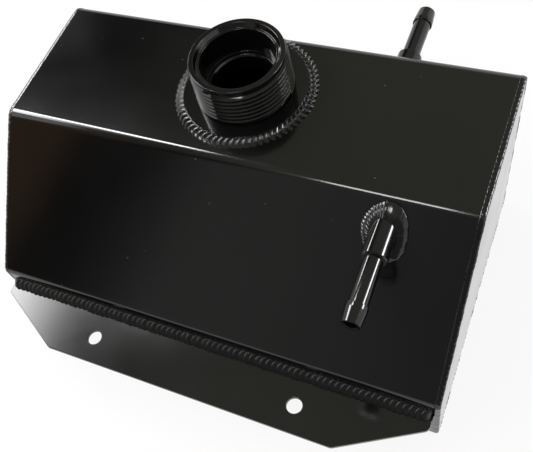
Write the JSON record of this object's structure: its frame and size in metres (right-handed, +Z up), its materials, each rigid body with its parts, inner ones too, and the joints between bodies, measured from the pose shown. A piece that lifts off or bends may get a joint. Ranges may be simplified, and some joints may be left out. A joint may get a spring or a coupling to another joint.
{
  "type": "coolant expansion tank",
  "caption": "Welded sheet-metal coolant expansion tank with a sloped front panel, threaded filler neck, hose barbs and a drilled mounting flange, coated black.",
  "frame": {"origin": "midway between the two mounting holes, on the underside of the mounting flange", "axes": "+X along the tank to the end with the hose barbs, +Y from the mounting flange to the tank's back, +Z up through the filler neck"},
  "size_m": [0.28, 0.251, 0.152],
  "materials": {
    "coated_sheet": "smooth satin-gloss black coat on sheet aluminium",
    "coated_turned_metal": "gloss black coat on turned aluminium",
    "coated_weld": "black coat over rippled weld metal"
  },
  "bodies": {
    "root": {"body_wrap": "coated_sheet", "left_end_plate": "coated_sheet", "right_end_plate": "coated_sheet", "mounting_flange": "coated_sheet", "filler_neck": "coated_turned_metal", "front_hose_fitting": "coated_turned_metal", "rear_hose_fitting": "coated_turned_metal", "return_outlet": "coated_turned_metal", "left_end_weld": "coated_weld", "right_end_weld": "coated_weld", "wrap_seam_weld": "coated_weld", "flange_weld": "coated_weld", "neck_weld": "coated_weld", "front_fitting_weld": "coated_weld", "rear_fitting_weld": "coated_weld", "outlet_weld": "coated_weld"}
  },
  "joints": []
}
